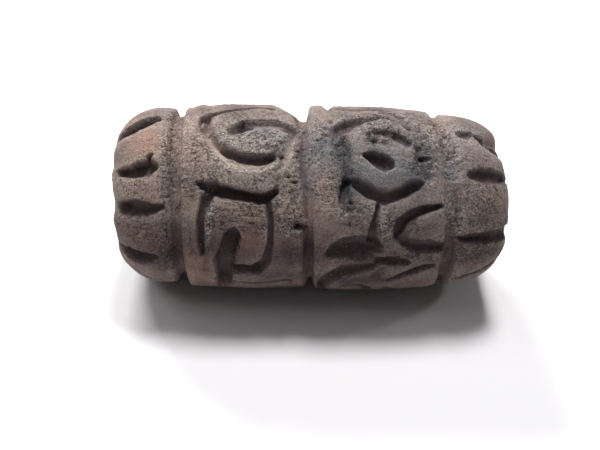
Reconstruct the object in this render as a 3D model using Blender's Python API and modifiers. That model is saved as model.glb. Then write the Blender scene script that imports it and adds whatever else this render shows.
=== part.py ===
"""Roller seal of fired clay: a stout barrel, bored from end to end, that lies on its side.

Three ring grooves part the barrel into two end bands with gouged notches and two broad panels.
The panels carry the carving that prints: curled scrolls and hooks on the left one, angular eyes,
forks and slots on the right one, repeated round the barrel.

Frame: X runs along the bore, Z is up, and the origin lies on the resting surface under the middle.
Carving is laid out on the unrolled barrel in millimetres along X and degrees round it. Angle 0 is the
line that faces the viewer, FACING_TURN above the horizontal, and angles grow upwards over the top.
"""

import math

import bmesh
import bpy
from mathutils import Matrix, Vector

MM = 0.001

# Driving dimensions, in millimetres and degrees
LENGTH = 63.4
PANEL_RADIUS = 15.5
BORE_RADIUS = 4.5
BORE_FLARE = 0.8
AXIS_HEIGHT = 15.2
FACING_TURN = 35.0
SIDES = 48

HALF = LENGTH / 2
PANEL_SAG = 0.4
PANEL_TAPER = 0.9
SHOULDER_STEPS = 6

# Each end band: radius, length of its shoulder, how far the shoulder drops, and how full it is (2 is an ellipse)
LEFT_BAND = (PANEL_RADIUS - 0.8, 6.9, 5.1, 1.75)
RIGHT_BAND = (PANEL_RADIUS - 1.2, 9.0, 4.6, 1.85)

# Ring grooves: centre along X, half width at the rim, depth
LEFT_RING = (-21.0, 1.05, 2.1)
MIDDLE_RING = (-0.4, 0.95, 2.5)
RIGHT_RING = (21.2, 1.05, 1.4)

# The rings were drawn freehand, so they lean to and fro along X as they go round
LEFT_LEAN = 0.5
RIGHT_LEAN = 0.6

# A groove cutter's cross-section: its floor as a share of its width, how far it stands above the
# surface and flares there, and the spacing of its sections along a stroke
FLOOR_SHARE = 0.5
RIM_LIFT = 1.0
RIM_FLARE = 0.35
STEP = 1.7
TIP_WIDTH = 0.45
TIP_DEPTH = 0.6
TIP_REACH = 0.8

# A stroke is a name, a depth, and the few points (along X, angle, half width) that the gouge passed
CURL_AND_HOOK = (
    ("crown", 1.4, ((-17.1, 54, 0.9), (-15.4, 61, 0.8), (-11.9, 66.5, 0.6), (-7.9, 71.5, 0.6), (-3.5, 74, 0.45))),
    ("crescent", 1.8, ((-15.1, 36, 0.4), (-13.3, 27, 0.75), (-9.5, 21.4, 0.95), (-5.9, 24.6, 0.95))),
    ("slot", 1.4, ((-11.7, 44, 0.9), (-7.7, 48.4, 1.25), (-3.6, 43.8, 0.75))),
    ("swash", 1.8, ((-16.9, 6.6, 0.8), (-13.7, 3.8, 1.0), (-9.7, 1.4, 0.95), (-6.9, -0.6, 1.0), (-5.0, 6.5, 0.6))),
    ("leg", 1.6, ((-16.0, 2.5, 0.8), (-16.8, -12, 0.65), (-17.0, -26, 0.55), (-16.6, -41, 0.3))),
    ("bend", 1.6, ((-6.5, -4, 0.4), (-5.9, -22, 0.4), (-6.4, -39, 0.6), (-9.3, -50, 1.0), (-12.3, -47, 1.0))),
    ("hollow", 1.8, ((-11.9, -20, 1.1), (-13.1, -36, 1.4), (-13.5, -52, 1.15), (-13.3, -67, 0.8))),
)
EYE_AND_FORK = (
    ("lid", 1.4, ((3.1, 37, 0.6), (4.9, 47.2, 0.85), (7.7, 54.5, 0.85), (10.7, 57.8, 0.5))),
    ("corner", 1.6, ((4.9, 11, 0.5), (4.7, 5, 0.8), (4.4, -3, 0.35))),
    ("chevron_left", 1.9, ((5.2, 13.5, 0.5), (7.7, 6.6, 1.0), (11.2, 0.2, 1.05))),
    ("chevron_right", 1.9, ((10.7, 0.2, 1.05), (13.7, 2.6, 1.0), (16.4, 11.5, 0.65))),
    ("brow", 1.2, ((9.7, 45.5, 0.5), (12.5, 43, 0.75), (15.5, 36.8, 0.5))),
    ("pupil", 1.8, ((8.4, 29.2, 0.5), (10.7, 25.2, 1.05), (12.1, 19.6, 0.75))),
    ("stem", 1.3, ((10.8, -3, 0.45), (10.0, -14, 0.4), (9.5, -23, 0.6))),
    ("fish", 1.6, ((3.1, -30.5, 0.4), (5.7, -27.5, 1.15), (9.7, -28.4, 1.15))),
    ("lens", 1.5, ((11.4, -38.4, 0.5), (13.5, -39, 0.95), (15.6, -40.8, 0.55))),
    ("tine_upper", 1.6, ((19.5, -4, 0.55), (16.1, -8.3, 0.7), (13.8, -17, 0.75), (13.3, -24, 0.55))),
    ("tine_lower", 1.6, ((13.2, -22.5, 0.5), (16.6, -27.8, 0.95), (19.6, -30.3, 0.8))),
)
SLASH_AND_ARCH = (
    ("slash", 1.3, ((19.2, -47.5, 0.5), (17.0, -53.5, 0.7), (13.6, -62, 0.45))),
    ("outer", 1.6, ((10.9, -42.6, 0.6), (7.1, -47, 0.9), (3.7, -57, 0.85), (2.7, -72, 0.8), (3.5, -92, 0.6))),
    ("inner", 1.5, ((7.3, -66, 1.0), (7.5, -78, 1.2), (8.3, -92, 0.7))),
    ("side", 1.3, ((11.5, -68, 0.5), (12.1, -80, 0.65), (15.1, -93, 0.5))),
)

# Where each motif is repeated round the barrel: the angle of its top, and how far it is stretched
# round the barrel. The first copy is the one that faces the viewer.
CURL_TOP = 74.0
CURL_REPEATS = ((CURL_TOP, 1.0), (-100.0, 1.12))
EYE_TOP = 62.0
EYE_REPEATS = ((EYE_TOP, 1.0), (-112.0, 1.0))
ARCH_TOP = -42.0
ARCH_REPEATS = ((ARCH_TOP, 1.0), (-216.0, 1.0))

# Notches along each shoulder: their angles, the inner and outer end along X, half width and depth
LEFT_NOTCHES = ((53, 16, -7.5, -44, -76, -107, -138, -169, -200, -231, -262), -23.9, -29.8, 1.25, 1.9)
RIGHT_NOTCHES = ((48, 16.5, -26, -66, -106, -146, -186, -226, -265), 23.6, 30.0, 1.1, 1.7)

# The old break along the left panel's upper rim: where its low edge lies along X, the angle of its
# middle, its depth there, and how steeply it rises towards the panel
CHIP_X = -1.4
CHIP_ANGLE = 88.0
CHIP_DEPTH = 2.4
CHIP_SLOPE = 27.0

CLAY_COLOUR = (0.17, 0.115, 0.09, 1.0)
SHARP_ANGLE = math.radians(40)


def clear_scene():
    for obj in list(bpy.data.objects):
        bpy.data.objects.remove(obj, do_unlink=True)


def new_collection(name):
    collection = bpy.data.collections.new(name)
    bpy.context.scene.collection.children.link(collection)
    return collection


def shoulder_radius(distance, band):
    """Radius of an end band at a distance past the start of its shoulder, along a superellipse."""
    radius, length, drop, fullness = band
    out = min(max(distance, 0) / length, 1)
    return radius - drop * (1 - (1 - out**fullness) ** (1 / fullness))


def land_radius(x):
    """Radius of the uncarved barrel at x: shoulders and bands, a panel that swells and one that tapers."""
    if x < LEFT_RING[0]:
        return shoulder_radius(LEFT_BAND[1] - HALF - x, LEFT_BAND)
    if x > RIGHT_RING[0]:
        return shoulder_radius(x - HALF + RIGHT_BAND[1], RIGHT_BAND)
    half_panel = 10.5
    if x < MIDDLE_RING[0]:
        return PANEL_RADIUS - PANEL_SAG * ((x + half_panel) / half_panel) ** 2
    return PANEL_RADIUS - PANEL_TAPER * (max(x - 7, 0) / 14) ** 2


def shoulder_points(side, band):
    """Profile points over a shoulder, from its start to the end face, closer together where it turns down."""
    for step in range(SHOULDER_STEPS):
        distance = band[1] * math.sin(step / (SHOULDER_STEPS - 1) * math.pi / 2)
        x = side * (HALF - band[1] + distance)
        yield x, shoulder_radius(distance, band)


def ring_points(ring):
    """The four profile points of a ring groove: rim, floor, floor, rim."""
    centre, half_width, depth = ring
    left, right = centre - half_width, centre + half_width
    floor = min(land_radius(left), land_radius(right)) - depth
    floor_half = 0.35 * half_width
    return [
        (left, land_radius(left)),
        (centre - floor_half, floor),
        (centre + floor_half, floor),
        (right, land_radius(right)),
    ]


def barrel_profile():
    """Half-section as (x, radius): over the outside from left to right, then back along the bore."""
    points = list(shoulder_points(-1, LEFT_BAND))[::-1]
    points += ring_points(LEFT_RING)
    points += [(-11.0, land_radius(-11.0))]
    points += ring_points(MIDDLE_RING)
    points += [(x, land_radius(x)) for x in (7.0, 14.0)]
    points += ring_points(RIGHT_RING)
    points += shoulder_points(1, RIGHT_BAND)
    points += [(HALF, BORE_RADIUS + BORE_FLARE), (HALF - BORE_FLARE, BORE_RADIUS)]
    points += [(BORE_FLARE - HALF, BORE_RADIUS), (-HALF, BORE_RADIUS + BORE_FLARE)]
    return points


def lean(x, angle):
    """How far the freehand rings stray along X: to one side on the left, twice round on the right."""
    turn = math.radians(angle)
    fade = 1 - (x / HALF) ** 6
    to_right = min(max((x - 4) / 12, 0), 1)
    left_part = -LEFT_LEAN * math.sin(turn + math.radians(20))
    right_part = RIGHT_LEAN * math.cos(2 * turn + math.radians(10))
    return fade * (left_part * (1 - to_right) + right_part * to_right)


def make_barrel(collection):
    """The barrel: a closed profile spun about X by a Screw modifier, then leant as the hand left it."""
    points = barrel_profile()
    outline = bpy.data.meshes.new("barrel_profile")
    edges = [(i, (i + 1) % len(points)) for i in range(len(points))]
    outline.from_pydata([(x * MM, 0, radius * MM) for x, radius in points], edges, [])
    turned = bpy.data.objects.new("barrel_profile", outline)
    collection.objects.link(turned)
    spin = turned.modifiers.new("spin", "SCREW")
    spin.axis = "X"
    spin.angle = 2 * math.pi
    spin.steps = SIDES
    spin.render_steps = SIDES
    spin.use_merge_vertices = True
    spin.merge_threshold = 0.00001
    mesh = baked(turned, "cylinder_seal")
    bpy.data.objects.remove(turned)
    for vertex in mesh.vertices:
        x, y, z = vertex.co / MM
        if math.hypot(y, z) > 1.5 * BORE_RADIUS:
            vertex.co.x += lean(x, math.degrees(math.atan2(z, -y)) - FACING_TURN) * MM
    barrel = bpy.data.objects.new("cylinder_seal", mesh)
    barrel.location = (0, 0, AXIS_HEIGHT * MM)
    collection.objects.link(barrel)
    return barrel


def baked(obj, name):
    """A new mesh with the object's modifiers applied."""
    evaluated = obj.evaluated_get(bpy.context.evaluated_depsgraph_get())
    mesh = bpy.data.meshes.new_from_object(evaluated)
    mesh.name = name
    return mesh


def spline(points, t):
    """The point at t, from 0 to 1, on a Catmull-Rom curve through the points."""
    spans = len(points) - 1
    span = min(int(t * spans), spans - 1)
    u = t * spans - span
    before = points[max(span - 1, 0)]
    here = points[span]
    there = points[span + 1]
    after = points[min(span + 2, spans)]
    return tuple(
        0.5 * (2 * b + (c - a) * u + (2 * a - 5 * b + 4 * c - d) * u**2 + (3 * b - a - 3 * c + d) * u**3)
        for a, b, c, d in zip(before, here, there, after)
    )


def stroke_length(points):
    """Length of a stroke on the unrolled barrel, in millimetres."""
    arc = math.radians(PANEL_RADIUS)
    return sum(math.hypot(b[0] - a[0], (b[1] - a[1]) * arc) for a, b in zip(points, points[1:]))


def outward(angle):
    """Unit vector out of the barrel at an angle round it."""
    turn = math.radians(angle + FACING_TURN)
    return Vector((0, -math.cos(turn), math.sin(turn)))


def on_barrel(x, angle):
    """The point of the uncarved surface at a place on the unrolled barrel, in millimetres."""
    return Vector((x, 0, 0)) + outward(angle) * land_radius(x)


def groove_sections(points, depth):
    """Cross-sections of a groove's cutter along its stroke, with a narrow shallow one past each tip.

    Each is a six-sided trough: two corners above the surface, two at the rims and two on the floor.
    """
    steps = max(2, round(stroke_length(points) / STEP))
    stations = [(spline(points, i / steps), 1.0, 1.0, 0.0) for i in range(steps + 1)]
    stations.insert(0, (points[0], TIP_WIDTH, TIP_DEPTH, -TIP_REACH))
    stations.append((points[-1], TIP_WIDTH, TIP_DEPTH, TIP_REACH))
    places = [on_barrel(x, angle) for (x, angle, _), *_ in stations]
    for i, ((_, angle, half_width), width_share, depth_share, beyond) in enumerate(stations):
        normal = outward(angle)
        ahead = places[min(i + 1, len(places) - 1)] - places[max(i - 1, 0)]
        along = (ahead - normal * ahead.dot(normal)).normalized()
        side = normal.cross(along)
        centre = places[i] + along * beyond * half_width
        wide = half_width * width_share
        deep = depth * depth_share
        corners = (
            (-wide - RIM_FLARE, RIM_LIFT),
            (-wide, 0),
            (-wide * FLOOR_SHARE, -deep),
            (wide * FLOOR_SHARE, -deep),
            (wide, 0),
            (wide + RIM_FLARE, RIM_LIFT),
        )
        yield [(centre + side * across + normal * up) * MM for across, up in corners]


def as_cutter(name, mesh, collection):
    cutter = bpy.data.objects.new(name, mesh)
    cutter.location = (0, 0, AXIS_HEIGHT * MM)
    cutter.hide_render = True
    cutter.display_type = "WIRE"
    collection.objects.link(cutter)
    return cutter


def carve_stroke(name, points, depth, collection):
    """One groove: a cutter lofted through sections that each differ from the next in width and depth."""
    shape = bmesh.new()
    rows = [[shape.verts.new(corner) for corner in section] for section in groove_sections(points, depth)]
    for row, following in zip(rows, rows[1:]):
        for i in range(len(row)):
            j = (i + 1) % len(row)
            shape.faces.new((row[i], row[j], following[j], following[i]))
    shape.faces.new(rows[0][::-1])
    shape.faces.new(rows[-1])
    bmesh.ops.triangulate(shape, faces=shape.faces[:])
    mesh = bpy.data.meshes.new(name)
    shape.to_mesh(mesh)
    shape.free()
    as_cutter(name, mesh, collection)


def carve_motif(label, strokes, top, repeats, collection):
    """Every stroke of a motif, at each of the motif's repeats round the barrel."""
    for number, (placed_top, stretch) in enumerate(repeats, 1):
        for name, depth, points in strokes:
            placed = [(x, placed_top + (angle - top) * stretch, wide) for x, angle, wide in points]
            carve_stroke(f"{label}_{number}_{name}", placed, depth, collection)


def carve_notches(label, notches, collection):
    """Lens-shaped notches along a shoulder, each leaning a little off straight, as the hand set them."""
    angles, inner, outer, half_width, depth = notches
    middle = (inner + outer) / 2
    for number, angle in enumerate(angles, 1):
        slant = 2.5 * math.sin(2.4 * number)
        points = (
            (inner, angle + slant, 0.6 * half_width),
            (middle, angle, half_width),
            (outer, angle - slant, 0.65 * half_width),
        )
        carve_stroke(f"{label}_notch_{number}", points, depth, collection)


def block_mesh(name, size):
    shape = bmesh.new()
    bmesh.ops.create_cube(shape, size=1)
    bmesh.ops.transform(shape, matrix=Matrix.Diagonal((*[side * MM for side in size], 1)), verts=shape.verts)
    mesh = bpy.data.meshes.new(name)
    shape.to_mesh(mesh)
    shape.free()
    return mesh


def break_rim(collection):
    """The chip: a block whose sloping underside takes a flake off the left panel's rim."""
    size = (14, 30, 6)
    chip = as_cutter("chip", block_mesh("chip", size), collection)
    turn = Matrix.Rotation(math.radians(90 - CHIP_ANGLE - FACING_TURN), 3, "X")
    tilt = Matrix.Rotation(math.radians(CHIP_SLOPE), 3, "Y")
    low_edge = Vector((CHIP_X, 0, land_radius(CHIP_X) - CHIP_DEPTH))
    centre = low_edge + tilt @ Vector((-size[0] / 2, 0, size[2] / 2))
    chip.rotation_euler = (turn @ tilt).to_euler()
    chip.location += turn @ centre * MM


def cut_resting_flat(collection):
    """The small flat under the seal, which keeps it from rolling."""
    size = (2 * LENGTH, LENGTH, 10)
    block = as_cutter("resting_flat", block_mesh("resting_flat", size), collection)
    block.location = (0, 0, -size[2] / 2 * MM)


def fired_clay():
    material = bpy.data.materials.new("fired_clay")
    material.use_nodes = True
    shader = material.node_tree.nodes["Principled BSDF"]
    shader.inputs["Base Color"].default_value = CLAY_COLOUR
    shader.inputs["Roughness"].default_value = 0.9
    shader.inputs["Metallic"].default_value = 0.0
    return material


def carve(barrel, cutters):
    """Takes every cutter from the barrel, then marks the sharp edges that the cuts leave."""
    for cutter in cutters.objects:
        cut = barrel.modifiers.new(cutter.name, "BOOLEAN")
        cut.operation = "DIFFERENCE"
        cut.object = cutter
    mesh = baked(barrel, "cylinder_seal")
    barrel.modifiers.clear()
    barrel.data = mesh
    mesh.shade_smooth()
    mesh.set_sharp_from_angle(angle=SHARP_ANGLE)


def main():
    clear_scene()
    parts = new_collection("clay_seal")
    cutters = new_collection("cutters")
    barrel = make_barrel(parts)
    carve_motif("curl", CURL_AND_HOOK, CURL_TOP, CURL_REPEATS, cutters)
    carve_motif("eye", EYE_AND_FORK, EYE_TOP, EYE_REPEATS, cutters)
    carve_motif("arch", SLASH_AND_ARCH, ARCH_TOP, ARCH_REPEATS, cutters)
    carve_notches("left", LEFT_NOTCHES, cutters)
    carve_notches("right", RIGHT_NOTCHES, cutters)
    break_rim(cutters)
    cut_resting_flat(cutters)
    carve(barrel, cutters)
    barrel.data.materials.append(fired_clay())


main()
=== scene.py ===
"""Looks of a roller seal of fired clay: a stout bored barrel, carved all round, lying on its side.

The seal is one closed surface worked out with numpy. Its rows run along the profile: over the outside
from the left end to the right, in across the right end face, back along the bore and out across the left
end face. Its columns run round the barrel. Every groove, ring, notch, break and pit is a depth in
millimetres, worked out for the whole grid at once and taken off along the profile's normal.

Carving is laid out on the unrolled barrel, in millimetres along X and degrees round it. Angle 0 is the
line that faces the viewer, FACING_TURN above the horizontal, and angles grow upwards over the top.
"""

import math
from types import SimpleNamespace

import bpy
import numpy as np
from mathutils import Euler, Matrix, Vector


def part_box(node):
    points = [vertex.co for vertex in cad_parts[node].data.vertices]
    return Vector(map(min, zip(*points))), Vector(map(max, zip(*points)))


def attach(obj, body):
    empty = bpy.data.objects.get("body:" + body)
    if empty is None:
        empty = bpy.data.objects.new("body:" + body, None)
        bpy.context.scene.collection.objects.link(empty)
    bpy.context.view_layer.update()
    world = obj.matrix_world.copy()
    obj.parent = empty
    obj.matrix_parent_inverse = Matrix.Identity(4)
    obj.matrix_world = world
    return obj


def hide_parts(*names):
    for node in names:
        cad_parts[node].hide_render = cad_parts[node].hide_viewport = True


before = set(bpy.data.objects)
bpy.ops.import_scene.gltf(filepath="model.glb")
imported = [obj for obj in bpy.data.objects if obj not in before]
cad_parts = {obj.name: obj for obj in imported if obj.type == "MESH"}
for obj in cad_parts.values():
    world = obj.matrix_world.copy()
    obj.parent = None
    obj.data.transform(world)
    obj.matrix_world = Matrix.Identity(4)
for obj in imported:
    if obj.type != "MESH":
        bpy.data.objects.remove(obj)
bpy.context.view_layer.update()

MM = 0.001

# Driving dimensions, in millimetres and degrees, the first three worked out from the frame
low_corner, high_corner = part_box("cylinder_seal")
HALF = (high_corner.x - low_corner.x) / 2 / MM
PANEL_RADIUS = (high_corner.y - low_corner.y) / 2 / MM
AXIS_HEIGHT = high_corner.z / MM - PANEL_RADIUS
BORE_RADIUS = 4.5
BORE_FLARE = 0.8
FACING_TURN = 35.0

# Millimetres round the panels for one degree
PANEL_DEGREE = math.radians(PANEL_RADIUS)

# The panels: half the length of one, how far the left one sags towards its ends, and how far the right
# one tapers, from where and over what length
HALF_PANEL = 10.5
PANEL_SAG = 0.4
PANEL_TAPER = 0.9
TAPER_START = 7.0
TAPER_LENGTH = 14.0

# Each end band: radius, length of its shoulder, how far the shoulder drops, and how full it is
LEFT_BAND = (PANEL_RADIUS - 0.8, 6.9, 5.1, 1.75)
RIGHT_BAND = (PANEL_RADIUS - 1.2, 9.0, 4.6, 1.85)

# Where one of these radii passes into the next, under the rings
RADIUS_STEPS = (-21.0, -0.4, 21.4)

# The grid: columns round the barrel, closer together on the side that shows, and the spacing of rows on
# the panels and past BAND_START, where only the end bands are left
COLUMNS = 348
CLOSEST_ANGLE = 10.0
CLOSER_BY = 0.3
PANEL_STEP = 0.24
BAND_STEP = 0.31
BAND_START = 22.5
PROFILE_SAMPLES = 4001
FACE_ROWS = 7
BORE_ROWS = 8

# A groove's cross-section, as shares of its half width: where its floor ends, where its wall meets the
# surface, and how much further out that is for a ring
FLOOR_EDGE = 0.62
RIM_EDGE = 1.08
RING_RIM_OUT = 0.2

# Its worn lip, as a share of its depth up to a greatest depth, and the power by which a narrower stretch
# of a stroke is shallower
LIP_WEAR = 0.16
LIP_DEPTH = 1.5
NARROW_POWER = 0.5

# Where the dark colour of a groove, part dirt and part painted shade, ends, as shares of its half width,
# and at which depths it sets in
DARK_EDGE = (0.8, 1.15)
DARK_DEPTH = (0.2, 1.2)

# A stroke is followed in STROKE_STEPS places. A degree never counts for less than at SMALLEST_RADIUS, and
# no point counts as further from a stroke than FAR_SHARE half widths.
STROKE_STEPS = 14
SMALLEST_RADIUS = 9.0
FAR_SHARE = 9.0

# How fast a worn hollow fades with the square of the distance. Where it meets a groove, a share of the
# shallower of the two is added to the deeper one.
HOLLOW_FALL = 1.6
SHARED_DEPTH = 0.35

# Random hills run from about -1 to 1, which HILL_GAIN sees to. A layer is their height or strength, their
# size in millimetres and a number of its own, which is added to SEED: how far the hand that cut the strokes
# strayed along X and round the barrel, ragged edges of strokes and pits, small craters, and slow swells.
SEED = 5
HILL_GAIN = 1.6
STRAY_ALONG = ((0.1, 3.0, 20), (0.08, 1.1, 21))
STRAY_ROUND = ((0.1, 2.7, 22), (0.08, 1.0, 23))
RAGGED_STROKES = ((0.16, 0.9, 24),)
RAGGED_PITS = ((0.8, 0.8, 10),)
CRATERS = ((1.0, 0.9, 11), (0.7, 0.55, 12))
SWELLS = ((0.1, 8.0, 40), (0.06, 3.5, 41))

# Traces of smoothing by hand: the size of their hills, their own number, and how much longer along X
SMOOTHING = (0.55, 42, 5.0)

# Rough ground is the size of its largest hills, how many sizes it has, and its first number: for the edges
# of crumbled and cracked patches, for grit, for lumps in crumbled clay, and for the patches of colour
CRUMBLED_EDGES = (3.0, 2, 30)
CRACKED_EDGES = (3.0, 2, 31)
GRIT = (0.8, 2, 43)
LUMPS = (1.8, 2, 45)
COLOUR_EDGES = (3.5, 3, 50)

# Heights in millimetres: the traces of smoothing along X, grit on firm clay and on crumbled clay, lumps
# and craters in crumbled clay
SMOOTHING_HEIGHT = 0.025
FIRM_GRIT = 0.03
CRUMBLED_GRIT = 0.16
LUMP_HEIGHT = 0.16
CRATER_DEPTH = 0.34

# Ring grooves: half width, the depth of the cut and of the worn valley round it at angles round the
# barrel, and the places of their middle along X
RINGS = (
    (
        0.95,
        ((-90, 2.0), (-40, 1.4), (-15, 1.0), (55, 0.9), (74, 1.3), (180, 1.9)),
        ((-90, 0.3), (-20, 0.6), (60, 0.6), (90, 0.4), (180, 0.3)),
        ((-90, -20.7), (-60, -20.6), (-17, -20.8), (14, -21.1), (50, -21.5), (90, -21.4), (180, -21.0)),
    ),
    (
        0.85,
        ((-70, 1.7), (-22, 1.7), (-14, 0.2), (50, 0.0), (66, 1.9), (90, 2.4), (180, 2.4)),
        ((-90, 0.2), (-22, 0.3), (-5, 0.8), (50, 1.1), (90, 0.4), (180, 0.2)),
        ((-90, 0.5), (-59, 0.0), (-32, -0.2), (12, -0.7), (43, -1.4), (62, -1.6), (90, -1.0), (180, 0.0)),
    ),
    (
        0.9,
        ((-70, 1.5), (-28, 1.3), (-14, 0.1), (55, 0.1), (75, 0.7), (120, 1.6), (180, 1.9)),
        ((-90, 0.2), (-20, 0.4), (0, 0.7), (55, 0.8), (75, 0.2), (100, 0.2), (180, 0.2)),
        ((-90, 22.3), (-50, 22.2), (-18, 22.2), (8, 21.7), (42, 21.1), (70, 20.6), (90, 20.5), (180, 21.3)),
    ),
)

# A stroke is a name, a depth, a lean, and the few points (along X, angle, half width) that the gouge
# passed. A lean above 0 makes the lower side that much wider and gentler, one below 0 the upper side.
CURL_AND_HOOK = (
    ("crown_root", 0.8, 0, ((-17.7, 46, 0.25), (-17.6, 50, 0.35), (-17.2, 53.5, 0.4))),
    ("crown", 1.4, 0.3, ((-17.2, 53.5, 0.55), (-16.2, 56.3, 0.45), (-14.6, 60, 0.25), (-12.7, 63.3, 0.18))),
    ("crown_end", 0.8, 0.3, ((-12.7, 63.3, 0.25), (-10.7, 66, 0.22), (-8.5, 68.5, 0.2), (-6, 66.5, 0.3))),
    ("crescent", 1.25, -0.2, (
        (-13.9, 29, 0.3), (-12.5, 25.2, 0.65), (-10, 22.2, 0.75), (-7.9, 21.6, 0.72), (-6, 23, 0.6),
    )),
    ("slot", 0.9, 2.2, (
        (-12.4, 43, 0.45), (-11.8, 46.5, 0.45), (-10.3, 49.2, 0.4), (-7.4, 51.2, 0.35), (-4.6, 49.2, 0.35),
        (-2.8, 44.6, 0.5),
    )),
    ("slot_pocket", 1.5, 0.6, ((-11.9, 43.4, 0.65), (-10.9, 45.9, 0.85), (-9.6, 47.5, 0.55))),
    ("swash", 2.3, -0.15, (
        (-17.3, 6.8, 0.35), (-15.5, 4.3, 1.25), (-13.8, 2.3, 1.15), (-11.5, 0.8, 0.95), (-8.9, -0.9, 0.85),
        (-7, -1.4, 1), (-5.5, 2.5, 0.65),
    )),
    ("hook_tip", 0.9, 0, ((-5.5, 2.5, 0.6), (-5.2, 6, 0.3))),
    ("leg", 1.7, 0, (
        (-15.8, 0.5, 1), (-16.3, -6.5, 0.85), (-16.9, -14, 0.65), (-16.8, -27, 0.6), (-16.85, -37, 0.3),
    )),
    ("bend", 1.7, 0, (
        (-6.4, -4.5, 0.55), (-6.1, -15.5, 0.5), (-6.15, -28.5, 0.5), (-6.8, -42, 0.85), (-8.6, -50, 1.2),
    )),
    ("bend_end", 2, 0, ((-8.6, -50, 1.2), (-11.8, -49.5, 1.4))),
    ("hollow", 2.5, 0, (
        (-11.8, -21.8, 0.9), (-12.1, -26, 1.5), (-12.6, -33, 1.35), (-13.2, -40, 1.6), (-13.3, -50, 1.5),
        (-13.5, -60, 1.45), (-13.6, -78, 1.1),
    )),
    ("under", 1.7, 0, (
        (-12.2, -65, 0.45), (-9.8, -67.5, 0.4), (-6.8, -66, 0.4), (-4.1, -63.5, 0.5), (-2.9, -63, 0.5),
    )),
)
EYE_AND_FORK = (
    ("lid", 1.3, 0.4, (
        (4.2, 44.5, 0.7), (5, 47.2, 1.15), (6.5, 51, 1), (8.4, 54.6, 0.65), (10.7, 57.4, 0.35),
    )),
    ("lid_far", 0.5, 1, ((11.3, 66.5, 0.25), (13.3, 63.5, 0.35), (14.8, 58.5, 0.3))),
    ("temple_cut", 0.7, 0, (
        (3.9, 40, 0.35), (4.6, 35, 0.6), (5.3, 28, 0.7), (5.7, 20, 0.7), (5.9, 12.5, 0.6),
    )),
    ("corner", 1.7, 0, ((5.5, 9.5, 0.9), (5.1, 4, 0.8), (4.7, -3.5, 0.35))),
    ("chevron_left", 1.4, -0.1, ((5.9, 10.5, 0.55), (7.7, 6.2, 1), (9.5, 2.4, 1.1), (11.4, -0.1, 1.2))),
    ("chevron_right", 1.4, -0.1, (
        (11.4, -0.1, 1.2), (13.7, 2.4, 1.05), (15.7, 6.8, 1.05), (16.8, 9.2, 0.6),
    )),
    ("brow", 0.8, 2, ((10, 44.3, 0.35), (11.8, 44.6, 0.45), (13.6, 41.3, 0.5), (15.2, 36.5, 0.5))),
    ("pupil", 1.6, 0, ((8.4, 25.5, 0.5), (9.7, 24.3, 1.05), (11.2, 21.3, 1.35), (12.1, 20.3, 0.9))),
    ("pupil_foot", 1.4, 0, ((11, 21.5, 0.9), (11.4, 17, 0.5))),
    ("stem", 2.1, 0, ((10.5, -4, 0.35), (10.1, -10, 0.4), (9.7, -20, 0.6), (9.5, -27, 0.85))),
    ("fish", 1.7, 1.3, (
        (3.1, -34, 0.5), (4.5, -30, 1.1), (6.2, -27.8, 1.4), (8.2, -27.2, 1.5), (9.9, -27, 1.2),
    )),
    ("lens", 1.2, 0, ((10.9, -40.5, 0.6), (13.3, -40.5, 1.05), (15.8, -42, 0.5))),
    ("tine_upper", 1.4, 0, (
        (20.3, -4, 0.5), (17.6, -6.3, 0.8), (15.5, -10, 1), (14.2, -14.5, 1.05), (13.7, -21.5, 0.85),
    )),
    ("tine_lower", 1.2, 0.3, ((13.8, -23, 0.6), (16, -27.8, 0.95), (18.5, -29.6, 1.1), (21, -30.5, 0.8))),
)
SLASH_AND_ARCH = (
    ("slash", 1.5, 0, ((19.8, -46.5, 0.5), (17.5, -49, 0.8), (15.2, -54, 0.75), (12.9, -60, 0.45))),
    ("outer", 1.3, 0.3, (
        (10.2, -44.5, 0.6), (7.9, -46.3, 1.1), (5.5, -49, 1.25), (3.6, -56.5, 1.2), (2.3, -69, 0.95),
        (2.5, -90, 0.7),
    )),
    ("inner", 1.3, 0, ((5.8, -72, 0.6), (7.1, -69, 0.9), (9.4, -73, 0.9), (10, -84, 0.8))),
    ("side", 1.3, 0, ((13, -74, 0.5), (13.6, -82, 0.65), (15.6, -94, 0.5))),
)

# Worn hollows, wider and softer than a gouge's stroke
CURL_HOLLOWS = (
    ("link", 1.4, 0, ((-16.4, 53, 0.5), (-16.5, 46, 0.8), (-16.1, 39.5, 0.9), (-15.4, 34, 0.9))),
    ("crescent_head", 1.5, 0, ((-15.4, 34, 0.9), (-14.5, 29.5, 1), (-13, 25, 1))),
    ("hook_rise", 0.7, 0, ((-5.2, 4, 0.6), (-5, 10, 0.7))),
    ("crescent_slope", 1, 0, ((-15.4, 32, 0.9), (-13.9, 25, 1), (-12, 20.3, 1), (-9.6, 18.4, 1))),
    ("crescent_rise", 0.9, 0, ((-9.6, 18.4, 1), (-7.4, 19.8, 1), (-5.2, 25, 0.9))),
    ("slot_floor", 0.6, 0, ((-10.5, 45.5, 1), (-7.2, 47, 1.2), (-4.2, 45, 0.9))),
    ("trough", 0.9, 0, (
        (-2.9, 42, 0.6), (-3.1, 36, 0.8), (-3.4, 30, 0.9), (-3.8, 23, 0.8), (-4.4, 18, 0.5),
    )),
    ("arm_foot", 0.5, 0, ((-3, 22, 1), (-3.6, 12, 1.1), (-4.2, 4, 0.9))),
    ("leg_slope", 0.5, 0, ((-18, -2, 1), (-18.4, -20, 1.1), (-18.2, -36, 1))),
    ("hollow_slope", 0.6, 0, ((-15, -22, 0.8), (-15.6, -34, 1), (-16.2, -50, 1))),
)
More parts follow.
